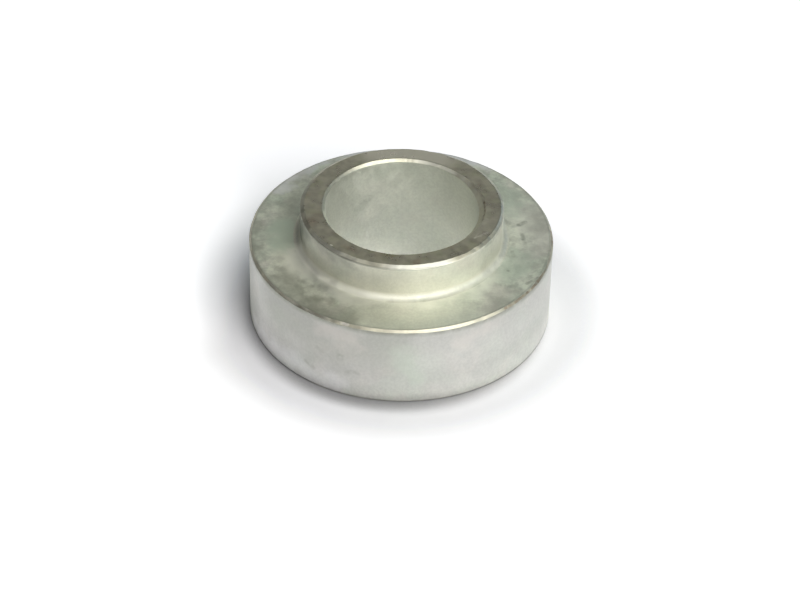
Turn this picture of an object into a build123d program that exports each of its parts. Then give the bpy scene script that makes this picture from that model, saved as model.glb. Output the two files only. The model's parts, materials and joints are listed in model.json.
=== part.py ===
from build123d import *
import os

# Shouldered spacer sleeve, in millimetres.
#
# One turned ring with a plain through bore. It slides over an axle and sets the distance between two
# neighbours: the wide flange bears on one of them with its back face, and the narrower nose reaches
# the other, such as the inner ring of a bearing, through a seal or a cover.
#
# Frame: the origin is the centre of the back face, and +Z runs along the bore axis towards the nose.
#
#         nose face
#        +---------+  <- overall length
#        |         |
#        |  nose   (_______ root fillet
#        |                 \
#   bore |     flange      |
#        |                 |
#        +-----------------+  <- back face, Z = 0

# Bore
axle_diameter = 12.0  # shaft that the sleeve slides over
bore_clearance = 0.1  # total, on the diameter
bore_mouth_chamfer = 0.25  # 45 degrees, at both ends

# Flange
flange_diameter = 24.0
flange_height = 7.0  # back face to shoulder
shoulder_edge_chamfer = 0.2  # 45 degrees, round the shoulder
back_edge_chamfer = 0.1  # 45 degrees, round the back face

# Nose
nose_diameter = 16.0
nose_height = 3.0  # shoulder to nose face
nose_edge_chamfer = 0.25  # 45 degrees, round the nose face
nose_root_fillet = 0.75  # blends the nose into the shoulder

# Worked out from the sizes above
bore_radius = (axle_diameter + bore_clearance) / 2
flange_radius = flange_diameter / 2
nose_radius = nose_diameter / 2
overall_length = flange_height + nose_height


def corner(sketch, radius, height):
    """The section's corner at that radius and height."""
    return sketch.vertices().sort_by_distance((radius, height))[0]


def half_section():
    """The sleeve's section on one side of its axis, with every edge broken."""
    with BuildSketch(Plane.XZ) as section:
        with BuildLine():
            Polyline(
                (bore_radius, 0),
                (flange_radius, 0),
                (flange_radius, flange_height),
                (nose_radius, flange_height),
                (nose_radius, overall_length),
                (bore_radius, overall_length),
                close=True,
            )
        make_face()
        fillet(corner(section, nose_radius, flange_height), nose_root_fillet)
        chamfer(corner(section, flange_radius, 0), back_edge_chamfer)
        chamfer(corner(section, flange_radius, flange_height), shoulder_edge_chamfer)
        chamfer(corner(section, nose_radius, overall_length), nose_edge_chamfer)
        chamfer(
            [
                corner(section, bore_radius, 0),
                corner(section, bore_radius, overall_length),
            ],
            bore_mouth_chamfer,
        )
    return section.sketch


def spacer_sleeve():
    """The whole sleeve, turned from its half section."""
    with BuildPart() as sleeve:
        add(half_section())
        revolve(axis=Axis.Z)
    return sleeve.part


os.makedirs("parts", exist_ok=True)
export_step(spacer_sleeve(), "parts/spacer_sleeve.step")
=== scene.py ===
"""A shouldered spacer sleeve: one turned ring of satin metal with bare broken edges, on a pale floor.

The sleeve stands on its wide flange, with the narrower nose up and the bore's axis along Z. Sizes come
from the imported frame. Lengths are in metres, except where a name or a comment says millimetres.
"""

import json
import math

import bpy
from bpy.props import FloatProperty, FloatVectorProperty, IntProperty, PointerProperty
from mathutils import Matrix, Vector, noise


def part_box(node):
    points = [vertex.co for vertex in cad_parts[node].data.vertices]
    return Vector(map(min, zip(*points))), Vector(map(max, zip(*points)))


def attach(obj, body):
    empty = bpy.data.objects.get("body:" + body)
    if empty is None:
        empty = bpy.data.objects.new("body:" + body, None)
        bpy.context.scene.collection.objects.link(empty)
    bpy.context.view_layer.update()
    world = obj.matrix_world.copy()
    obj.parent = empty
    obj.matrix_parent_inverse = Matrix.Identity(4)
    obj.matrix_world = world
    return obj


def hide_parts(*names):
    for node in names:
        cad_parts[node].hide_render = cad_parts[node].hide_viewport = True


bl_info = {
    "name": "Spacer sleeve",
    "version": (1, 0, 0),
    "blender": (4, 5, 0),
    "location": "View3D > Sidebar > Sleeve",
    "description": "Makes a turned spacer sleeve with a satin finish, and a pale stage for it",
    "category": "Add Mesh",
}

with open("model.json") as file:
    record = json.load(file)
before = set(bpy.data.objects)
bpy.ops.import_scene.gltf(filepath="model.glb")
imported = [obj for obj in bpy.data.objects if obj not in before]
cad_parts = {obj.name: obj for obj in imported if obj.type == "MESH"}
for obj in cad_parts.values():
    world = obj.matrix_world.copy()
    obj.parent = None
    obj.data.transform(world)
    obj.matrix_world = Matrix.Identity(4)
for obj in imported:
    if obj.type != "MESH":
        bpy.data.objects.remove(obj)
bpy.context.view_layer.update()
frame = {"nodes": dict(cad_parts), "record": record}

MM = 0.001
SOLID = "spacer_sleeve"

# The solid's own sizes, from its box and its mounts
mounts = {mount["name"]: mount for mount in frame["record"]["mounts"]}
solid_low, solid_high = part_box(SOLID)
overall_length = solid_high.z - solid_low.z
flange_radius = max(vertex.co.xy.length for vertex in frame["nodes"][SOLID].data.vertices)
flange_height = mounts["shoulder"]["pos_m"][2]
nose_radius = mounts["nose"]["dims"]["r_mm"] * MM
bore_radius = mounts["bore"]["dims"]["r_mm"] * MM
edge_break = (overall_length - mounts["bore"]["dims"]["length_mm"] * MM) / 2
nose_wall_length = mounts["nose"]["dims"]["length_mm"] * MM
solid_root_fillet = overall_length - flange_height - edge_break - nose_wall_length

# The made root fillet, as a share of the solid's
ROOT_FILLET_SHARE = 0.7
root_fillet = solid_root_fillet * ROOT_FILLET_SHARE

# Where the sleeve's surfaces lie, in millimetres
BORE = bore_radius / MM
NOSE = nose_radius / MM
WALL = flange_radius / MM
RIM = WALL - 0.1
SHOULDER = flange_height / MM
TOP = overall_length / MM


# ---------------------------------------------------------------------------------------------------
# Settings


def length(name, description, default, **limits):
    """A property that holds a length in metres."""
    return FloatProperty(
        name=name, description=description, default=default, subtype="DISTANCE", precision=5, **limits
    )


def share(name, description, default):
    """A property that holds a share from 0 to 1."""
    return FloatProperty(
        name=name, description=description, default=default, min=0.0, max=1.0, subtype="FACTOR"
    )


def colour(name, description, default):
    """A property that holds a colour."""
    return FloatVectorProperty(
        name=name, description=description, default=default, size=3, min=0.0, max=1.0, subtype="COLOR"
    )


def angle(name, description, degrees):
    """A property that holds an angle, given in degrees."""
    return FloatProperty(
        name=name, description=description, default=math.radians(degrees), subtype="ANGLE"
    )


class SleeveSizes(bpy.types.PropertyGroup):
    """The sleeve's sizes."""

    flange_radius: length("Flange radius", "Half the wide flange's diameter", flange_radius)
    flange_height: length("Flange height", "From the back face to the shoulder", flange_height)
    nose_radius: length("Nose radius", "Half the narrow nose's diameter", nose_radius)
    overall_length: length("Overall length", "From the back face to the nose face", overall_length)
    bore_radius: length("Bore radius", "Half the bore's diameter", bore_radius)
    bore_foot_break: length("Bore foot break", "Size of the break at the bore's foot", edge_break)
    mouth_break: length("Mouth break", "Size of the break at the bore's mouth", edge_break * 0.84)
    nose_break: length("Nose break", "Size of the break round the nose face", edge_break * 0.95)
    nose_rounding: length("Nose rounding", "Radius between the nose's break and its wall", 0.1 * MM)
    shoulder_break: length("Shoulder break", "Size of the break round the shoulder", edge_break * 0.72)
    foot_break: length("Foot break", "Size of the break round the back face", edge_break * 0.4)
    root_fillet: length("Root fillet", "Radius between the nose and the shoulder", root_fillet)
    softening: length("Softening", "Radius that wear gives each corner of a broken edge", 0.05 * MM)
    raggedness: share("Raggedness", "How much the width of the broken edges varies", 0.16)
    facets_round: IntProperty(
        name="Facets round", description="Facets once round the axis", default=720, min=48
    )


class SleeveFinish(bpy.types.PropertyGroup):
    """The sleeve's metal."""

    nose_colour: colour("Nose colour", "The blasted wall of the nose", (0.69, 0.69, 0.60))
    root_colour: colour("Root colour", "The fillet between the nose and the shoulder", (0.75, 0.76, 0.67))
    shoulder_colour: colour("Shoulder colour", "The blasted shoulder", (0.75, 0.77, 0.68))
    wall_colour: colour("Wall colour", "The blasted wall of the flange", (0.63, 0.63, 0.60))
    bore_colour: colour("Bore colour", "The bore", (0.90, 0.915, 0.84))
    mouth_colour: colour("Mouth colour", "The broken mouths of the bore", (0.80, 0.79, 0.66))
    edge_colour: colour("Edge colour", "The broken edges of the nose and flange", (0.61, 0.60, 0.49))
    bare_colour: colour("Bare colour", "The turned faces", (0.42, 0.405, 0.335))
    # The pale colour is partly real paler skin, and partly painted light and painted highlights, where
    # the marks say so
    pale_and_painted_light_colour: colour("Pale colour", "Paler patches in the blasted skin", (0.92, 0.93, 0.84))
    # The rubbed colour also makes a painted sheen on the nose face, where the turning grooves would fan
    # the light
    rubbed_and_sheen_colour: colour("Rubbed colour", "Lighter rubbed patches on bare metal", (0.66, 0.64, 0.56))
    # The green colour also makes one painted shadow, that of the nose on the shoulder
    green_and_shade_colour: colour("Green colour", "The greener clouds in the blasted skin", (0.62, 0.70, 0.60))
    cool_colour: colour("Cool colour", "Whiter skin along the far rim", (0.90, 0.90, 0.93))
    warm_colour: colour("Warm colour", "The warmer clouds in the blasted skin", (0.76, 0.72, 0.68))
    # The stain colour also makes painted shade at the bore's mouth, and partly painted dark reflections
    # on the shoulder's broken edge
    stain_and_shade_colour: colour("Stain colour", "Rust brown stains on bare metal", (0.30, 0.23, 0.17))
    olive_colour: colour("Olive colour", "Olive stains on bare metal", (0.37, 0.38, 0.27))
    # The soil colour also makes painted shade and painted shadows, where the marks and functions say so
    soil_and_shade_colour: colour("Soil colour", "Dark marks in the blasted skin", (0.30, 0.31, 0.26))
    bright_colour: colour("Bright colour", "Fresh metal in nicks and scratches", (0.93, 0.91, 0.84))
    satin_roughness: share("Satin roughness", "Roughness of the blasted walls", 0.6)
    bore_roughness: share("Bore roughness", "Roughness of the bore", 0.55)
    bare_roughness: share("Bare roughness", "Roughness of the turned faces", 0.32)
    edge_roughness: share("Edge roughness", "Roughness of the broken edges", 0.56)
    grain: length("Grain", "Size of the blasted skin's grains", 0.14 * MM)
    turning_pitch: length("Turning pitch", "Distance between the lathe tool's grooves", 0.12 * MM)


class StageSettings(bpy.types.PropertyGroup):
    """The floor, the lights and the camera."""

    floor_radius: length("Floor radius", "Radius of the round floor", 6.0)
    floor_colour: colour("Floor colour", "The pale floor", (0.87, 0.885, 0.92))
    floor_lift: share("Floor lift", "Added to the open floor, so that it looks white", 0.42)
    # painted light on the floor's shadow at the left
    painted_left_light: share("Left lift", "Added to the floor's shadow on the left", 0.16)
    glow_colour: colour("Glow colour", "The colour of what is added", (0.97, 0.98, 1.0))
    world_colour: colour("World colour", "The dim room round the stage", (0.05, 0.05, 0.05))
    lamp_distance: length("Lamp distance", "From the sleeve to each lamp", 1.0)
    lens: FloatProperty(name="Lens", description="Focal length in millimetres", default=124.42)
    camera_distance: length("Camera distance", "From the centre of the back face", 222.66 * MM)
    camera_height: angle("Camera height", "Angle of the camera above the floor", 38.63)
    camera_roll: angle("Camera roll", "How far the camera leans to its left", 1.427)
    aim_right: length("Aim right", "How far right of the axis the camera aims", 0.025 * MM)
    aim_up: length("Aim up", "How far above the floor the camera aims", 0.494 * MM)


# ---------------------------------------------------------------------------------------------------
# Shape

# The nose's break is this much wider than its size, and as much lower
NOSE_SLANT = 1.22

# Knocks in the broken edges: the edge, azimuth in degrees, then half width along the edge and how far
# the knock widens the edge, in millimetres
KNOCKS = [
    ("nose", 105, 8.0, 0.13),
    ("nose", -88, 6.5, 0.045),
    ("nose", -50, 3.0, -0.05),
    ("nose", 0, 5.0, -0.06),
    ("nose", -122, 0.30, 0.04),
    ("nose", -43, 0.22, 0.05),
    ("nose", -36, 0.18, 0.04),
    ("nose", -29, 0.22, 0.05),
    ("nose", 74, 0.30, 0.04),
    ("bore_mouth", -95, 12.0, 0.09),
    ("bore_mouth", -4, 4.0, 0.26),
    ("bore_mouth", 58, 2.2, -0.06),
    ("bore_mouth", 138, 2.6, -0.05),
    ("bore_mouth", 180, 4.0, -0.06),
    ("bore_mouth", -14, 0.35, 0.04),
    ("bore_mouth", 31, 0.30, 0.03),
    ("shoulder", 95, 8.0, 0.10),
    ("shoulder", -28, 4.5, -0.05),
    ("shoulder", -111.5, 0.35, 0.045),
    ("shoulder", -58, 0.40, 0.04),
    ("shoulder", -27, 0.40, 0.05),
    ("shoulder", 62, 0.50, 0.04),
    ("shoulder", 171, 0.60, 0.05),
]


def edge_sizes(sizes, azimuth):
    """The size of each broken edge at one azimuth, uneven as a hand tool and later knocks leave it."""
    edges = [
        ("bore_foot", sizes.bore_foot_break, sizes.bore_radius),
        ("bore_mouth", sizes.mouth_break, sizes.bore_radius),
        ("nose", sizes.nose_break, sizes.nose_radius),
        ("shoulder", sizes.shoulder_break, sizes.flange_radius),
        ("flange_foot", sizes.foot_break, sizes.flange_radius),
    ]
    heading = Vector((math.cos(azimuth), math.sin(azimuth), 0.0))
    found = {}
    for number, (edge, nominal, radius) in enumerate(edges):
        aside = Vector((0.0, 0.0, 3.7 * (number + 1)))
        slow = noise.noise(heading * 7 + aside)
        quick = noise.noise(heading * 24 + aside)
        size = nominal * (1 + sizes.raggedness * (slow + 0.5 * quick))
        for knocked_edge, knock_azimuth, half_width, depth in KNOCKS:
            if knocked_edge != edge:
                continue
            turn = math.remainder(azimuth - math.radians(knock_azimuth), 2 * math.pi)
            away = turn * radius / (half_width * MM)
            size += depth * MM * math.exp(-away * away)
        found[edge] = size
    return found


def round_corner(before, corner, after, radius, steps):
    """Points of the arc that rounds a corner of the section."""
    to_before = (before - corner).normalized()
    to_after = (after - corner).normalized()
    half_turn = to_before.angle(to_after) / 2
    setback = radius / math.tan(half_turn)
    centre = corner + (to_before + to_after).normalized() * (radius / math.sin(half_turn))
    first = corner + to_before * setback - centre
    last = corner + to_after * setback - centre
    swing = first.angle_signed(last)
    return [centre + Matrix.Rotation(-swing * step / steps, 2) @ first for step in range(steps + 1)]


def run_shares(run_length, bands):
    """Where a straight run's rows lie, as shares of it: evenly, with one narrow band at each end."""
    margin = min(0.03 * MM / run_length, 0.2)
    inner = [margin + (1 - 2 * margin) * band / (bands - 2) for band in range(bands - 1)]
    return [0.0] + inner


def section_rows(sizes, edges):
    """The half section as rows of (point, finish), from the bore's lower end round to it again.

    The finish is that of the band of faces that follows the row."""
    shoulder = sizes.flange_height
    top = sizes.overall_length
    bore, nose, flange = sizes.bore_radius, sizes.nose_radius, sizes.flange_radius
    soft = sizes.softening
    bore_foot, bore_mouth = edges["bore_foot"], edges["bore_mouth"]
    nose_edge, shoulder_edge, flange_foot = edges["nose"], edges["shoulder"], edges["flange_foot"]
    # each corner: radius, height, rounding, arc steps, and the run that leaves it: bands, finish
    corners = [
        (bore, bore_foot, soft, 4, 8, "bore"),
        (bore, top - bore_mouth, soft, 4, 5, "mouth"),
        (bore + bore_mouth, top, soft, 4, 8, "bare"),
        (nose - nose_edge * NOSE_SLANT, top, soft, 4, 5, "edge"),
        (nose, top - nose_edge / NOSE_SLANT, sizes.nose_rounding, 8, 8, "nose"),
        (nose, shoulder, sizes.root_fillet, 12, 8, "shoulder"),
        (flange - shoulder_edge, shoulder, soft, 4, 5, "edge"),
        (flange, shoulder - shoulder_edge, soft, 4, 8, "wall"),
        (flange, flange_foot, soft, 4, 5, "edge"),
        (flange - flange_foot, 0.0, soft, 4, 8, "bare"),
        (bore + bore_foot, 0.0, soft, 4, 5, "mouth"),
    ]
    places = [Vector((corner[0], corner[1])) for corner in corners]
    arcs = []
    for index, corner in enumerate(corners):
        before = places[index - 1]
        after = places[(index + 1) % len(places)]
        arcs.append(round_corner(before, places[index], after, corner[2], corner[3]))
    rows = []
    for index, corner in enumerate(corners):
        arc = arcs[index]
        steps, bands, finish = corner[3], corner[4], corner[5]
        finish_before = corners[index - 1][5]
        for step in range(steps):
            if finish == "shoulder":
                rows.append((arc[step], "root"))
            else:
                rows.append((arc[step], finish_before if step < steps // 2 else finish))
        start, end = arc[-1], arcs[(index + 1) % len(arcs)][0]
        for share_along in run_shares((end - start).length, bands):
            rows.append((start.lerp(end, share_along), finish))
    return rows


FINISHES = ["nose", "root", "shoulder", "wall", "bore", "mouth", "edge", "bare"]


def build_sleeve_mesh(sizes):
    """The sleeve as a closed mesh, turned from its half section. The seam of its map is at the back."""
    around = sizes.facets_round
    azimuths = [math.pi / 2 + 2 * math.pi * facet / around for facet in range(around)]
    sections = [section_rows(sizes, edge_sizes(sizes, azimuth)) for azimuth in azimuths]
    finishes = [finish for _, finish in sections[0]]
    vertices = []
    for row in range(len(finishes)):
        for azimuth, section in zip(azimuths, sections):
            point = section[row][0]
            vertices.append((point.x * math.cos(azimuth), point.x * math.sin(azimuth), point.y))
    run_lengths = [0.0]
    points = [point for point, _ in sections[0]]
    for row, point in enumerate(points):
        run_lengths.append(run_lengths[-1] + (points[(row + 1) % len(points)] - point).length)
    faces = []
    slots = []
    map_corners = []
    for row, finish in enumerate(finishes):
        this_row = row * around
        next_row = (row + 1) % len(finishes) * around
        low, high = run_lengths[row] / run_lengths[-1], run_lengths[row + 1] / run_lengths[-1]
        for facet in range(around):
            beside = (facet + 1) % around
            faces.append((this_row + facet, next_row + facet, next_row + beside, this_row + beside))
            slots.append(FINISHES.index(finish))
            left, right = facet / around, (facet + 1) / around
            map_corners += [left, low, left, high, right, high, right, low]
    mesh = bpy.data.meshes.new("sleeve")
    mesh.from_pydata(vertices, [], faces)
    mesh.polygons.foreach_set("material_index", slots)
    mesh.polygons.foreach_set("use_smooth", [True] * len(faces))
    mesh.uv_layers.new(name="OFBake").data.foreach_set("uv", map_corners)
    mesh.update()
    return mesh


# ---------------------------------------------------------------------------------------------------
# Materials


class Nodes:
    """A material's nodes, with short ways to add the usual ones. Places in it are in millimetres."""

    def __init__(self, name):
        self.material = bpy.data.materials.new(name)
        self.material.use_nodes = True
        self.tree = self.material.node_tree
        self.tree.nodes.clear()

    def add(self, kind, inputs=None, **settings):
        """A new node. Each input is a number, a colour or another node's output."""
        node = self.tree.nodes.new(kind)
        for name, value in settings.items():
            setattr(node, name, value)
        for name, value in (inputs or {}).items():
            if isinstance(value, bpy.types.NodeSocket):
                self.tree.links.new(value, node.inputs[name])
            else:
                node.inputs[name].default_value = value
        return node

    def find_place(self):
        """Where the surface is: its place, its radius from the axis and its height."""
        coordinates = self.add("ShaderNodeTexCoord")
        self.place = self.vector("SCALE", coordinates.outputs["Object"], scale=1 / MM)
        flat = self.vector("MULTIPLY", self.place, (1.0, 1.0, 0.0))
        self.radius = self.add("ShaderNodeVectorMath", {0: flat}, operation="LENGTH").outputs["Value"]
        self.height = self.add("ShaderNodeSeparateXYZ", {0: self.place}).outputs["Z"]

    def math(self, operation, first, second=0.0, clamp=False):
        inputs = {0: first, 1: second}
        return self.add("ShaderNodeMath", inputs, operation=operation, use_clamp=clamp).outputs[0]

    def vector(self, operation, first, second=None, scale=None):
        inputs = {0: first}
        if second is not None:
            inputs[1] = second
        if scale is not None:
            inputs["Scale"] = scale
        return self.add("ShaderNodeVectorMath", inputs, operation=operation).outputs["Vector"]

    def noise(self, size, detail=2.0, place=None, roughness=0.5, **settings):
        """Noise from 0 to 1 whose lumps are about that size in millimetres."""
        inputs = {"Scale": 1 / size, "Detail": detail, "Roughness": roughness}
        inputs["W" if settings.get("noise_dimensions") == "1D" else "Vector"] = place or self.place
        return self.add("ShaderNodeTexNoise", inputs, **settings).outputs[0]

    def ramp(self, value, low, high, to_low=0.0, to_high=1.0):
        """A smooth step from one value to another."""
        inputs = {0: value, 1: low, 2: high, 3: to_low, 4: to_high}
        return self.add("ShaderNodeMapRange", inputs, interpolation_type="SMOOTHSTEP").outputs[0]

    def mix(self, amount, first, second, blend="MIX"):
        """Two colours mixed."""
        first, second = (
            value if isinstance(value, bpy.types.NodeSocket) else (*value[:3], 1.0)
            for value in (first, second)
        )
        inputs = {0: amount, 6: first, 7: second}
        return self.add("ShaderNodeMix", inputs, data_type="RGBA", blend_type=blend).outputs[2]

    def bump(self, height, depth, normal=None):
        """Bumps of that depth in millimetres."""
        inputs = {"Height": height, "Distance": depth * MM, "Strength": 1.0}
        if normal is not None:
            inputs["Normal"] = normal
        return self.add("ShaderNodeBump", inputs).outputs[0]

    def spread(self, noise_value, low, high):
        """A noise spread over the range between two values."""
        return self.ramp(noise_value, 0.3, 0.7, low, high)

    def grey(self, value):
        """A value as a grey colour."""
        inputs = {"Red": value, "Green": value, "Blue": value}
        return self.add("ShaderNodeCombineColor", inputs).outputs[0]

    def shade(self, skin, tone, amount=1.0):
        """The skin made darker or lighter by a tone. A tone of 1 keeps it."""
        return self.mix(amount, skin, self.grey(tone), "MULTIPLY")

    def shifted(self, distance):
        """The place moved aside, so that one noise doesn't follow another."""
        return self.vector("ADD", self.place, (distance, -distance, distance / 2))

    def wandering(self, size, distance):
        """The place, moved about by up to that distance, so that outlines wander."""
        inputs = {"Vector": self.place, "Scale": 1 / size, "Detail": 2.0}
        drift = self.add("ShaderNodeTexNoise", inputs).outputs["Color"]
        drift = self.vector("SUBTRACT", drift, (0.5, 0.5, 0.5))
        return self.vector("ADD", self.place, self.vector("SCALE", drift, scale=distance))

    def heading(self):
        """The direction straight out from the axis."""
        return self.vector("NORMALIZE", self.vector("MULTIPLY", self.place, (1.0, 1.0, 0.0)))

    def facing(self, azimuth):
        """The cosine of the turn between the place's azimuth and that one, in degrees."""
        inputs = {0: self.heading(), 1: on_face(azimuth, 1.0, 0.0)}
        return self.add("ShaderNodeVectorMath", inputs, operation="DOT_PRODUCT").outputs["Value"]

    def open_air(self, reach, **inputs):
        """How open the place is to the air within that reach in millimetres, from 0 to 1."""
        inputs["Distance"] = reach * MM
        return self.add("ShaderNodeAmbientOcclusion", inputs, samples=16).outputs["AO"]

    def finish_metal(self, base, roughness, normal):
        """The metal shader and the material's output."""
        inputs = {"Base Color": base, "Roughness": roughness, "Normal": normal, "Metallic": 1.0}
        shader = self.add("ShaderNodeBsdfPrincipled", inputs)
        self.add("ShaderNodeOutputMaterial", {"Surface": shader.outputs[0]})
        return self.material


def on_face(azimuth, radius, height):
    """The place in millimetres at that azimuth in degrees, radius and height."""
    turn = math.radians(azimuth)
    return (radius * math.cos(turn), radius * math.sin(turn), height)


def on_shoulder(*points):
    """A mark's line on the shoulder, from points as (azimuth, radius)."""
    return [(azimuth, radius, SHOULDER) for azimuth, radius in points]


def on_root(out, *azimuths):
    """A mark's line on the root fillet, that far out from the nose and up from the shoulder."""
    return [(azimuth, NOSE + out, SHOULDER + out) for azimuth in azimuths]


def on_nose(*points):
    """A mark's line on the nose's wall, from points as (azimuth, distance below the top)."""
    return [(azimuth, NOSE, TOP - below) for azimuth, below in points]


def on_wall(*points):
    """A mark's line on the flange's wall, from points as (azimuth, height)."""
    return [(azimuth, WALL, height) for azimuth, height in points]


def on_rim(*azimuths):
    """A mark's line along the shoulder's broken edge."""
    return [(azimuth, RIM, SHOULDER) for azimuth in azimuths]


def on_top(*points, below=0.0):
    """A mark's line on the nose face or the edges beside it, from points as (azimuth, radius)."""
    return [(azimuth, radius, TOP - below) for azimuth, radius in points]


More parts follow.
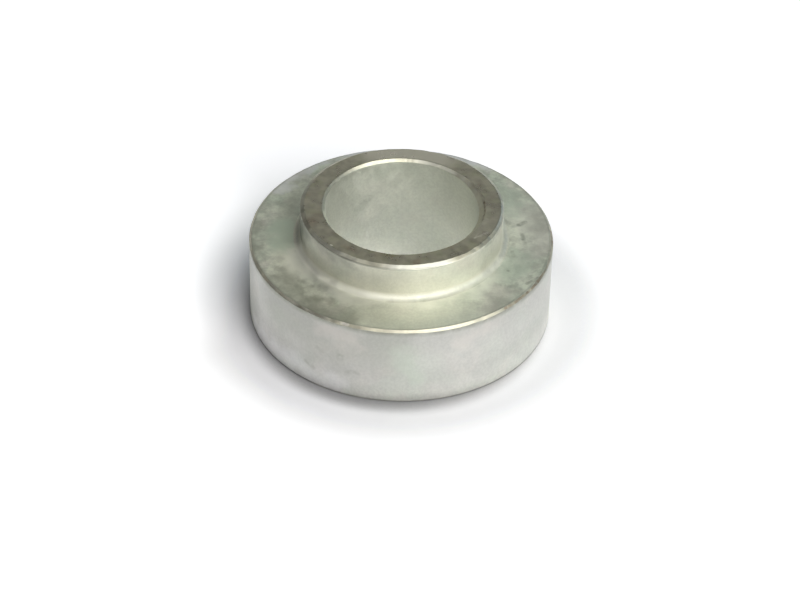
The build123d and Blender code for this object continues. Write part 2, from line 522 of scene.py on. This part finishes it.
# Marks by finish: kind, full to what distance and gone at what distance from the mark's line, strength
# and the line. Azimuths are in degrees and the rest in millimetres. A line of one point makes a spot.
MARKS = {
    "shoulder": [
        # painted light on the left of the shoulder beside the nose
        ("pale_and_painted_light", 0.4, 1.5, 1.00, on_shoulder((-166, 9.2), (-150, 8.7), (-118, 8.7))),
        # painted highlight along the front of the shoulder, where it meets the fillet
        ("pale_and_painted_light", 0.2, 1.4, 0.65, on_shoulder((-112, 8.7), (-80, 8.5), (-48, 8.9))),
        ("pale_and_painted_light", 0.2, 1.2, 0.65, on_shoulder((-48, 9.1), (-38, 9.0), (-24, 8.6))),
        ("pale_and_painted_light", 0.3, 1.5, 0.45, on_shoulder((4, 10.1), (24, 10.3))),
        # painted light on the left of the shoulder
        ("pale_and_painted_light", 0.3, 1.3, 0.35, on_shoulder((-162, 10.0), (-146, 9.8))),
        # painted shadow of the nose on the shoulder's back left
        ("soil_and_shade", 0.3, 1.9, 0.36, on_shoulder((-178, 8.5), (168, 8.9), (156, 9.3))),
        ("cool", 0.2, 1.3, 0.85, on_shoulder((56, 11.9), (82, 12.0), (108, 12.0))),
        ("cool", 0.2, 1.0, 0.60, on_shoulder((108, 12.0), (132, 11.9), (152, 11.8))),
        ("soil_and_shade", 0.1, 0.7, 0.32, on_shoulder((172, 11.85), (190, 11.85))),
        ("soil_and_shade", 0.1, 0.7, 0.32, on_shoulder((216, 11.85), (232, 11.85), (246, 11.85))),
        # painted shadow of the nose, dark and green, on the shoulder's left
        ("green_and_shade", 0.4, 1.9, 0.80, on_shoulder((176, 9.4), (-170, 9.6))),
        ("soil_and_shade", 0.2, 1.5, 0.44, on_shoulder((-148, 10.6), (-132, 11.0), (-112, 11.6))),
        ("green_and_shade", 0.4, 2.0, 0.60, on_shoulder((-26, 9.7), (-14, 9.8))),
        ("green_and_shade", 0.4, 1.8, 0.60, on_shoulder((26, 9.8), (34, 9.9))),
        ("warm", 0.3, 1.8, 0.40, on_shoulder((-8, 11.0), (6, 11.2), (18, 11.5))),
        ("warm", 0.3, 1.5, 0.40, on_shoulder((-52, 11.2), (-42, 10.4))),
        ("soil_and_shade", 0.2, 1.1, 0.15, on_shoulder((-52, 11.5), (-40, 11.3))),
        ("soil_and_shade", 0.1, 0.9, 0.20, on_shoulder((18, 11.1), (8, 10.9))),
        ("soil_and_shade", 0.02, 0.30, 0.23, on_shoulder((10.2, 9.04), (10.8, 9.48))),
        ("soil_and_shade", 0.05, 0.28, 0.47, on_shoulder((10.8, 9.48), (12.4, 10.05))),
        ("pale_and_painted_light", 0.05, 0.28, 0.43, on_shoulder((15.0, 10.0), (16.2, 10.25))),
        ("soil_and_shade", 0.03, 0.23, 0.38, on_shoulder((3.2, 9.56), (-1.0, 9.64))),
        ("soil_and_shade", 0.03, 0.23, 0.38, on_shoulder((-1.0, 9.64), (-4.0, 9.80))),
        ("bright", 0.02, 0.12, 0.38, on_shoulder((-28.8, 11.25), (-23.5, 11.8))),
        ("soil_and_shade", 0.05, 0.21, 0.38, on_shoulder((-30.5, 11.35), (-25.0, 11.75))),
        ("soil_and_shade", 0.04, 0.18, 0.46, on_shoulder((-26.8, 9.36))),
        ("soil_and_shade", 0.04, 0.23, 0.31, on_shoulder((-11.2, 8.9), (-15.0, 9.1))),
        ("soil_and_shade", 0.05, 0.30, 0.34, on_shoulder((-140.8, 9.68), (-135, 9.55))),
        ("soil_and_shade", 0.05, 0.28, 0.31, on_shoulder((-144.8, 9.76), (-142.5, 9.9))),
    ],
    "root": [
        # painted light on the left of the fillet
        ("pale_and_painted_light", 0.4, 2.2, 1.00, on_root(0.2, -158, -140, -108)),
        # painted highlight along the front of the fillet
        ("pale_and_painted_light", 0.2, 0.75, 0.50, on_shoulder((-112, 8.7), (-80, 8.6), (-50, 8.7))),
        ("pale_and_painted_light", 0.2, 0.75, 0.45, on_shoulder((-50, 8.7), (-24, 8.6))),
        # painted shade that dims the fillet's highlight at the front right
        ("soil_and_shade", 0.3, 1.2, 0.14, on_root(0.2, -72, -42)),
        # painted shade on the fillet's left
        ("soil_and_shade", 0.2, 1.4, 0.20, on_root(0.3, -184, -176)),
    ],
    "nose": [
        # painted shade on the nose wall's left side
        ("soil_and_shade", 0.50, 2.4, 1.00, on_nose((-184, 0.3), (-168, 0.6), (-174, 2.0))),
        ("soil_and_shade", 0.10, 0.9, 0.45, on_nose((-156, 0.5), (-138, 0.5), (-122, 0.5))),
        ("soil_and_shade", 0.10, 0.45, 0.45, on_nose((-34, 0.2), (-12, 0.2), (12, 0.2), (40, 0.2))),
        # painted shade low on the front of the nose wall
        ("soil_and_shade", 0.6, 2.2, 0.20, on_nose((-98, 2.0), (-68, 2.0))),
    ],
    "wall": [
        # painted shade on the upper front left of the flange wall
        ("soil_and_shade", 0.5, 3.4, 0.28, on_wall((-142, 5.4), (-118, 4.9), (-94, 5.0))),
        ("cool", 0.3, 1.8, 0.30, on_wall((-158, 0.7), (-140, 0.7), (-114, 0.7))),
        # these two: painted shade on the left of the flange wall
        ("soil_and_shade", 1.5, 4.5, 0.34, on_wall((-200, 4.2), (-172, 3.8))),
        ("soil_and_shade", 0.3, 2.2, 0.30, on_wall((-184, 1.2), (-172, 0.6))),
        ("soil_and_shade", 0.05, 0.34, 0.26, on_wall((-126.5, 1.9), (-124.5, 1.7), (-123.0, 1.6))),
        ("soil_and_shade", 0.04, 0.29, 0.19, on_wall((-121.5, 3.8), (-118.0, 3.6), (-115.5, 3.1))),
        ("soil_and_shade", 0.03, 0.20, 0.19, on_wall((-112.6, 3.3), (-113.0, 3.6), (-112.3, 3.85))),
        ("soil_and_shade", 0.03, 0.20, 0.19, on_wall((-112.3, 3.85), (-111.0, 3.8), (-110.7, 3.5))),
        ("soil_and_shade", 0.04, 0.31, 0.22, on_wall((-109.0, 2.3), (-107.0, 2.5), (-105.0, 2.45))),
        ("soil_and_shade", 0.03, 0.25, 0.13, on_wall((-57.5, 2.5), (-55.0, 2.6))),
        ("warm", 0.20, 1.60, 0.45, on_wall((-118.0, 5.9), (-108.0, 5.6))),
        ("warm", 0.20, 1.40, 0.45, on_wall((-66.0, 5.6), (-56.0, 5.9))),
        ("green_and_shade", 0.20, 1.50, 0.35, on_wall((-88.0, 4.4), (-84.0, 2.9))),
    ],
    "edge": [
        # painted shade on the nose's broken edge at the left
        ("soil_and_shade", 0.3, 1.8, 0.45, on_top((-196, 7.9), (-176, 7.9))),
        # painted light on the nose's broken edge at the front left
        ("pale_and_painted_light", 0.3, 1.4, 0.35, on_top((-146, 7.9), (-128, 7.9), (-120, 7.9))),
        # painted highlight on the nose's broken edge at the front
        ("pale_and_painted_light", 1.2, 2.4, 0.95, on_top((-85, 7.8), (-72, 7.8))),
        ("soil_and_shade", 0.08, 0.30, 0.45, on_top((-46, 7.88), (-38, 7.88), (-30, 7.88))),
        ("pale_and_painted_light", 0.08, 0.65, 0.30, on_top((-22, 7.88), (-10, 7.88), (4, 7.88))),
        # brown stain, partly painted dark reflection, on the shoulder's broken edge at the left
        ("stain_and_shade", 0.15, 0.55, 0.22, on_rim(-152, -142, -131)),
        # painted light on the shoulder's broken edge at the left
        ("pale_and_painted_light", 0.10, 0.65, 0.35, on_rim(-146, -130, -117)),
        # brown stain, partly painted dark reflection, on the shoulder's broken edge at the right
        ("stain_and_shade", 0.18, 0.60, 0.70, on_rim(-46, -28, 4)),
        ("bright", 0.08, 0.28, 0.90, on_rim(-111, -109.3)),
    ],
    "mouth": [
        # painted shade on the bore's mouth at the left
        ("soil_and_shade", 0.3, 1.6, 0.50, on_top((138, 6.2), (160, 6.2), (182, 6.2))),
        # these two: painted shade at the bore's mouth on the right
        ("stain_and_shade", 0.03, 0.22, 0.85, on_top((-14, 6.45), (-4, 6.47), (6, 6.46))),
        ("stain_and_shade", 0.03, 0.20, 0.70, on_top((6, 6.40), (16, 6.30), (30, 6.22))),
        # painted highlight on the bore's far mouth
        ("pale_and_painted_light", 0.2, 0.9, 0.85, on_top((40, 6.2), (60, 6.2), (78, 6.2))),
        # painted light just inside the bore's mouth on the right
        ("pale_and_painted_light", 0.1, 0.5, 0.50, on_top((6, 6.05), (22, 6.05), (38, 6.05), below=0.2)),
    ],
    "bare": [
        # painted sheen on the far side of the nose face, fanned by the turning grooves
        ("rubbed_and_sheen", 0.5, 3.2, 1.00, on_top((102, 7.0), (86, 7.0), (70, 7.0))),
        # painted sheen on the front right of the nose face
        ("rubbed_and_sheen", 0.3, 1.9, 0.22, on_top((-24, 7.0), (-12, 7.0))),
        ("bright", 0.03, 0.14, 0.95, on_top((-135.0, 7.60), (-134.2, 7.58))),
        ("stain_and_shade", 0.05, 0.42, 0.45, on_top((-128.5, 7.0), (-122.5, 6.95))),
        ("rubbed_and_sheen", 0.05, 0.35, 0.40, on_top((-18.0, 6.75), (-14.0, 6.8))),
        ("bright", 0.04, 0.15, 0.38, on_top((-35.3, 6.96), (-31.0, 7.2), (-26.8, 7.4))),
        ("bright", 0.03, 0.12, 0.25, on_top((-35.3, 6.96), (-30.0, 6.85))),
    ],
}

# A mark that reaches further than this, in millimetres, is a soft patch. Any other is a line.
PATCH_REACH = 0.6


def lay_marks(nodes, base, finish, marks):
    """The base colour with the marks laid over it. Patches wander far, and lines a little with breaks."""
    colours = {
        "soil_and_shade": finish.soil_and_shade_colour,
        "bright": finish.bright_colour,
        "stain_and_shade": finish.stain_and_shade_colour,
        "pale_and_painted_light": finish.pale_and_painted_light_colour,
        "rubbed_and_sheen": finish.rubbed_and_sheen_colour,
        "warm": finish.warm_colour,
        "cool": finish.cool_colour,
        "green_and_shade": finish.green_and_shade_colour,
    }
    line_place = nodes.wandering(size=0.5, distance=0.22)
    patch_place = nodes.wandering(size=1.6, distance=2.6)
    broken = nodes.ramp(nodes.noise(0.4, place=nodes.shifted(41.0)), 0.3, 0.6, 0.35, 1.0)
    for kind, core, reach, strength, points in marks:
        is_patch = reach > PATCH_REACH
        place = patch_place if is_patch else line_place
        places = [Vector(on_face(*point)) for point in points]
        nearest = None
        for start, end in zip(places, places[1:] or places):
            distance = segment_distance(nodes, place, start, end)
            nearest = distance if nearest is None else nodes.math("MINIMUM", nearest, distance)
        mask = nodes.ramp(nearest, core, reach, strength, 0.0)
        if not is_patch:
            mask = nodes.math("MULTIPLY", mask, broken)
        base = nodes.mix(mask, base, colours[kind])
    return base


def segment_distance(nodes, place, start, end):
    """How far the place is from the line between two points, or from one point."""
    run = end - start
    from_start = nodes.vector("SUBTRACT", place, tuple(start))
    if run.length == 0:
        return nodes.add("ShaderNodeVectorMath", {0: from_start}, operation="LENGTH").outputs["Value"]
    dot = nodes.add("ShaderNodeVectorMath", {0: from_start, 1: tuple(run)}, operation="DOT_PRODUCT")
    along = nodes.math("DIVIDE", dot.outputs["Value"], run.length_squared, clamp=True)
    nearest = nodes.vector("SCALE", tuple(run), scale=along)
    inputs = {0: from_start, 1: nearest}
    return nodes.add("ShaderNodeVectorMath", inputs, operation="DISTANCE").outputs["Value"]


def satin_metal(name, base, finish, clouding, mottling, marks, roughness, soiled_and_shaded=None, wiped=None):
    """Blasted metal: a fine grain with soft clouds of greener and warmer skin.

    The soiling argument adds the finish's own soil, and for some finishes painted light and painted
    shade: a function of its nodes and skin. wiped is an azimuth in degrees, round which the skin is more
    even."""
    nodes = Nodes(name)
    nodes.find_place()
    uneven = 1.0 if wiped is None else nodes.ramp(nodes.facing(wiped), 0.82, 0.96, 1.0, 0.3)
    green_clouds = nodes.noise(3.4, detail=3.0)
    warm_clouds = nodes.noise(2.3, detail=3.0, place=nodes.shifted(11.0))
    mottle = nodes.noise(0.9, detail=4.0, place=nodes.shifted(5.0), roughness=0.6)
    speckle = nodes.noise(0.22, detail=2.0)
    greener = nodes.ramp(green_clouds, 0.42, 0.68, 0.0, clouding)
    warmer = nodes.ramp(warm_clouds, 0.5, 0.72, 0.0, clouding)
    skin = nodes.mix(nodes.math("MULTIPLY", greener, uneven), base, finish.green_and_shade_colour)
    skin = nodes.mix(nodes.math("MULTIPLY", warmer, uneven), skin, finish.warm_colour)
    skin = nodes.shade(skin, nodes.spread(mottle, 1 - mottling, 1 + mottling * 0.6), uneven)
    skin = nodes.shade(skin, nodes.spread(speckle, 0.96, 1.03))
    skin = lay_marks(nodes, skin, finish, marks)
    if soiled_and_shaded is not None:
        skin = soiled_and_shaded(nodes, skin, finish)
    rough = nodes.spread(mottle, roughness - 0.06, roughness + 0.06)
    waves = nodes.bump(nodes.noise(1.2, detail=2.0, place=nodes.shifted(21.0)), depth=0.03)
    grains = nodes.bump(nodes.noise(finish.grain / MM, detail=2.0), depth=0.012, normal=waves)
    return nodes.finish_metal(skin, rough, grains)


def bare_metal(name, base, finish, staining, marks, roughness, soiled_and_shaded=None):
    """Turned metal: fine grooves round the axis, with brown and olive staining."""
    nodes = Nodes(name)
    nodes.find_place()
    brown_stains = nodes.noise(1.6, detail=2.0)
    olive_stains = nodes.noise(1.1, detail=1.5, place=nodes.shifted(15.0))
    patches = nodes.noise(0.7, detail=1.5, place=nodes.shifted(9.0))
    skin = nodes.mix(nodes.ramp(brown_stains, 0.5, 0.75, 0.0, staining), base, finish.stain_and_shade_colour)
    skin = nodes.mix(nodes.ramp(olive_stains, 0.48, 0.66, 0.0, staining), skin, finish.olive_colour)
    skin = nodes.shade(skin, nodes.spread(patches, 0.86, 1.12))
    # wiped streaks that run outwards
    outwards = nodes.vector("SCALE", nodes.heading(), scale=7.0)
    skin = nodes.shade(skin, nodes.spread(nodes.noise(0.2, place=outwards), 0.97, 1.03))
    skin = lay_marks(nodes, skin, finish, marks)
    if soiled_and_shaded is not None:
        skin = soiled_and_shaded(nodes, skin, finish)
    rough = nodes.spread(patches, roughness - 0.05, roughness + 0.05)
    pitch = finish.turning_pitch / MM
    grooves = nodes.noise(pitch, detail=1.0, place=nodes.radius, noise_dimensions="1D")
    return nodes.finish_metal(skin, rough, nodes.bump(grooves, depth=0.012))


def blend_root(nodes, skin, finish):
    """The fillet's skin turns into the nose's at its top."""
    share_nose = nodes.ramp(nodes.height, SHOULDER + 0.15, SHOULDER + root_fillet / MM)
    return nodes.mix(share_nose, skin, finish.nose_colour)


def paint_wall_light_and_shade(nodes, skin, finish):
    """Painted shade at the wall's top and foot, painted light above the foot, an olive line at its edge.
    """
    # from one height to another, and the painted tones there
    bands = [
        (SHOULDER * 0.5, SHOULDER, 1.0, 0.88),
        (0.5, 2.6, 1.18, 1.0),
        (0.0, 0.25, 0.7, 1.0),
    ]
    for band in bands:
        skin = nodes.shade(skin, nodes.ramp(nodes.height, *band))
    line = nodes.ramp(nodes.height, SHOULDER - 0.7, SHOULDER - 0.2, 0.0, 0.72)
    broken = nodes.ramp(nodes.noise(0.8, place=nodes.shifted(31.0)), 0.3, 0.6, 0.45, 1.0)
    return nodes.mix(nodes.math("MULTIPLY", line, broken), skin, finish.soil_and_shade_colour)


def soil_ring(nodes, skin, finish):
    """Dirt along both rims of the nose face."""
    inner = nodes.ramp(nodes.radius, BORE + 0.24, BORE + 0.40, 0.4, 0.0)
    outer = nodes.ramp(nodes.radius, NOSE - 0.42, NOSE - 0.28, 0.0, 0.4)
    return nodes.mix(nodes.math("MAXIMUM", inner, outer), skin, finish.soil_and_shade_colour)


def dull_and_shade_bore(nodes, skin, finish):
    """The upper bore is darker at both sides of the wiped strip: partly a duller film, partly painted
    shade.
    """
    sides = nodes.ramp(nodes.facing(98), 0.65, 1.02, 1.0, 0.0)
    upper = nodes.ramp(nodes.height, 3.0, 8.5, 0.0, 0.20)
    return nodes.shade(skin, nodes.math("SUBTRACT", 1.0, nodes.math("MULTIPLY", sides, upper)))


def soil_shoulder(nodes, skin, finish):
    """A thin dull line along the shoulder's rim."""
    rim = nodes.ramp(nodes.radius, WALL - 0.40, WALL - 0.24, 0.0, 0.3)
    return nodes.mix(rim, skin, finish.soil_and_shade_colour)


def at_front_left(nodes):
    """1 at the front left of the nose, and 0 away from it."""
    return nodes.ramp(nodes.facing(-112), 0.60, 0.74)


def dark_reflection_nose_wall(nodes, skin, finish):
    """A painted dark reflection along the top of the nose's wall, at the front left."""
    upper = nodes.ramp(nodes.height, TOP - 0.32, TOP - 0.27, 0.0, 0.5)
    return nodes.mix(nodes.math("MULTIPLY", at_front_left(nodes), upper), skin, finish.soil_and_shade_colour)


def dark_reflection_nose_edge(nodes, skin, finish):
    """A painted dark reflection along the lower part of the nose's broken edge, at the front left."""
    lower = nodes.ramp(nodes.height, TOP - 0.19, TOP - 0.15, 0.6, 0.0)
    not_shoulder = nodes.ramp(nodes.height, SHOULDER + 1.0, SHOULDER + 1.1)
    amount = nodes.math("MULTIPLY", at_front_left(nodes), nodes.math("MULTIPLY", lower, not_shoulder))
    return nodes.mix(amount, skin, finish.soil_and_shade_colour)


class SLEEVE_OT_make_sleeve(bpy.types.Operator):
    """Make the sleeve and its metal"""

    bl_idname = "sleeve.make_sleeve"
    bl_label = "Make sleeve"

    def execute(self, context):
        scene = context.scene
        finish = scene.sleeve_finish
        satin = finish.satin_roughness
        bore = finish.bore_roughness
        edge = finish.edge_roughness
        bare = finish.bare_roughness
        materials = {
            "nose": satin_metal(
                "satin_nose", finish.nose_colour, finish, 0.2, 0.03, MARKS["nose"], satin - 0.05,
                soiled_and_shaded=dark_reflection_nose_wall,
            ),
            "root": satin_metal(
                "satin_root", finish.root_colour, finish, 0.3, 0.08, MARKS["root"], satin + 0.08,
                soiled_and_shaded=blend_root,
            ),
            "shoulder": satin_metal(
                "satin_shoulder", finish.shoulder_colour, finish, 0.5, 0.2, MARKS["shoulder"], satin,
                soiled_and_shaded=soil_shoulder, wiped=-84,
            ),
            "wall": satin_metal(
                "satin_wall", finish.wall_colour, finish, 0.2, 0.05, MARKS["wall"], satin,
                soiled_and_shaded=paint_wall_light_and_shade,
            ),
            "bore": satin_metal(
                "satin_bore", finish.bore_colour, finish, 0.15, 0.02, [], bore, soiled_and_shaded=dull_and_shade_bore
            ),
            "mouth": satin_metal(
                "bore_mouth", finish.mouth_colour, finish, 0.1, 0.03, MARKS["mouth"], satin
            ),
            "edge": bare_metal(
                "bare_edge", finish.edge_colour, finish, 0.15, MARKS["edge"], edge,
                soiled_and_shaded=dark_reflection_nose_edge,
            ),
            "bare": bare_metal(
                "bare_turned", finish.bare_colour, finish, 0.45, MARKS["bare"], bare, soiled_and_shaded=soil_ring
            ),
        }
        mesh = build_sleeve_mesh(scene.sleeve_sizes)
        for name in FINISHES:
            mesh.materials.append(materials[name])
        sleeve = bpy.data.objects.new("sleeve", mesh)
        scene.collection.objects.link(sleeve)
        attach(sleeve, "root")
        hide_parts(SOLID)
        return {"FINISHED"}


# ---------------------------------------------------------------------------------------------------
# Stage

# Soft lamps: name, azimuth and height in degrees, width and tallness in metres at one metre, radiance
LAMPS = [
    ("key_upper", -62, 60, 0.8, 0.45, (1.1, 1.05, 0.75)),
    ("key", -62, 40, 0.8, 0.45, (6.6, 6.25, 6.3)),
    ("key_lower", -56, 20, 0.8, 0.3, (3.7, 3.75, 3.3)),
    ("side", -15, 22, 0.5, 0.4, (0.85, 1.05, 1.2)),
    ("top", -30, 86, 0.6, 0.5, (0.2, 0.28, 0.5)),
    ("back", 100, 28, 0.8, 0.4, (0.5, 0.5, 0.49)),
    ("back_right", 55, 28, 0.5, 0.4, (0.35, 0.6, 0.9)),
    ("back_top", 60, 62, 0.8, 0.4, (1.0, 1.0, 0.7)),
]


def make_lamps(scene, settings):
    """The soft lamps, all aimed at the sleeve."""
    for name, azimuth, height, width, tallness, radiance in LAMPS:
        light = bpy.data.lights.new(name, "AREA")
        light.shape = "RECTANGLE"
        light.size = width * settings.lamp_distance
        light.size_y = tallness * settings.lamp_distance
        strongest = max(radiance)
        light.color = [part / strongest for part in radiance]
        light.energy = strongest * math.pi * light.size * light.size_y
        lamp = bpy.data.objects.new(name, light)
        lamp.location = Vector(on_face(azimuth, math.cos(math.radians(height)), 0.0))
        lamp.location.z = math.sin(math.radians(height))
        lamp.location *= settings.lamp_distance
        lamp.rotation_euler = lamp.location.to_track_quat("Z", "Y").to_euler()
        scene.collection.objects.link(lamp)


def make_world(scene, settings):
    """A dim plain room."""
    world = bpy.data.worlds.new("room")
    world.use_nodes = True
    world.node_tree.nodes["Background"].inputs["Color"].default_value = (*settings.world_colour, 1.0)
    scene.world = world


def floor_material(settings):
    """A pale floor that looks white in the open, and keeps the sleeve's shadow."""
    nodes = Nodes("floor")
    nodes.find_place()
    inside = nodes.ramp(nodes.radius, BORE, NOSE, 1.0, 0.0)
    # the foot of the sleeve keeps the light from behind off the floor in front of it
    towards_back = nodes.vector("NORMALIZE", (0.25, 0.92, 0.3))
    foot_light = nodes.ramp(nodes.open_air(2.2, Normal=towards_back), 0.37, 0.8, 0.27, 1.0)
    plain = nodes.shade(settings.floor_colour, nodes.math("MAXIMUM", inside, foot_light))
    shader = nodes.add("ShaderNodeBsdfDiffuse", {"Color": plain})
    # the open floor glows, and painted light lifts the floor's shadow on the left so that it stays thin
    open_air = nodes.math("MAXIMUM", nodes.open_air(8.0), nodes.math("MULTIPLY", inside, 0.78))
    lift = nodes.ramp(open_air, 0.72, 0.98, 0.0, settings.floor_lift)
    on_left = nodes.ramp(nodes.facing(165), 0.75, 0.95)
    away = nodes.ramp(nodes.radius, WALL + 0.4, WALL + 3.0, 0.0, settings.painted_left_light)
    lift = nodes.math("ADD", lift, nodes.math("MULTIPLY", on_left, away))
    rays = nodes.add("ShaderNodeLightPath").outputs
    seen = nodes.math("MAXIMUM", rays["Is Camera Ray"], rays["Is Glossy Ray"])
    seen = nodes.math("MAXIMUM", seen, rays["Is Transmission Ray"])
    lift = nodes.math("MULTIPLY", lift, seen)
    glow = nodes.add("ShaderNodeEmission", {"Color": (*settings.glow_colour, 1.0), "Strength": lift})
    both = nodes.add("ShaderNodeAddShader", {0: shader.outputs[0], 1: glow.outputs[0]})
    nodes.add("ShaderNodeOutputMaterial", {"Surface": both.outputs[0]})
    return nodes.material


def make_floor(scene, settings):
    """A large round floor."""
    mesh = bpy.data.meshes.new("floor")
    corners = 96
    turns = [2 * math.pi * corner / corners for corner in range(corners)]
    radius = settings.floor_radius
    rim = [(radius * math.cos(turn), radius * math.sin(turn), 0.0) for turn in turns]
    mesh.from_pydata(rim, [], [tuple(range(corners))])
    mesh.materials.append(floor_material(settings))
    floor = bpy.data.objects.new("floor", mesh)
    scene.collection.objects.link(floor)


def make_camera(scene, settings):
    """The camera, from the front and above."""
    camera = bpy.data.objects.new("camera", bpy.data.cameras.new("camera"))
    camera.data.lens = settings.lens
    camera.data.clip_start = 0.01
    height = settings.camera_height
    back = Vector((0.0, -math.cos(height), math.sin(height)))
    camera.location = back * settings.camera_distance
    aim = Vector((settings.aim_right, 0.0, settings.aim_up))
    looking = (aim - camera.location).to_track_quat("-Z", "Y").to_matrix()
    camera.rotation_euler = (looking @ Matrix.Rotation(settings.camera_roll, 3, "Z")).to_euler()
    scene.collection.objects.link(camera)
    scene.camera = camera


class SLEEVE_OT_make_stage(bpy.types.Operator):
    """Make the floor, the lights and the camera"""

    bl_idname = "sleeve.make_stage"
    bl_label = "Make stage"

    def execute(self, context):
        scene = context.scene
        settings = scene.sleeve_stage
        make_floor(scene, settings)
        make_lamps(scene, settings)
        make_world(scene, settings)
        make_camera(scene, settings)
        scene.view_settings.view_transform = "Standard"
        return {"FINISHED"}


# ---------------------------------------------------------------------------------------------------
# Add-on


class SLEEVE_PT_panel(bpy.types.Panel):
    """The sleeve's sizes and finish, and the stage"""

    bl_label = "Spacer sleeve"
    bl_idname = "SLEEVE_PT_panel"
    bl_space_type = "VIEW_3D"
    bl_region_type = "UI"
    bl_category = "Sleeve"

    def draw(self, context):
        scene = context.scene
        for group in (scene.sleeve_sizes, scene.sleeve_finish, scene.sleeve_stage):
            for name in group.bl_rna.properties.keys():
                if name not in ("rna_type", "name"):
                    self.layout.prop(group, name)
        self.layout.operator(SLEEVE_OT_make_sleeve.bl_idname)
        self.layout.operator(SLEEVE_OT_make_stage.bl_idname)


CLASSES = (
    SleeveSizes,
    SleeveFinish,
    StageSettings,
    SLEEVE_OT_make_sleeve,
    SLEEVE_OT_make_stage,
    SLEEVE_PT_panel,
)


def register():
    for made_class in CLASSES:
        bpy.utils.register_class(made_class)
    bpy.types.Scene.sleeve_sizes = PointerProperty(type=SleeveSizes)
    bpy.types.Scene.sleeve_finish = PointerProperty(type=SleeveFinish)
    bpy.types.Scene.sleeve_stage = PointerProperty(type=StageSettings)


def unregister():
    del bpy.types.Scene.sleeve_stage
    del bpy.types.Scene.sleeve_finish
    del bpy.types.Scene.sleeve_sizes
    for made_class in reversed(CLASSES):
        bpy.utils.unregister_class(made_class)


def main():
    """Registers the add-on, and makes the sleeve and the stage."""
    register()
    bpy.ops.sleeve.make_sleeve()
    bpy.ops.sleeve.make_stage()


if __name__ == "__main__":
    main()
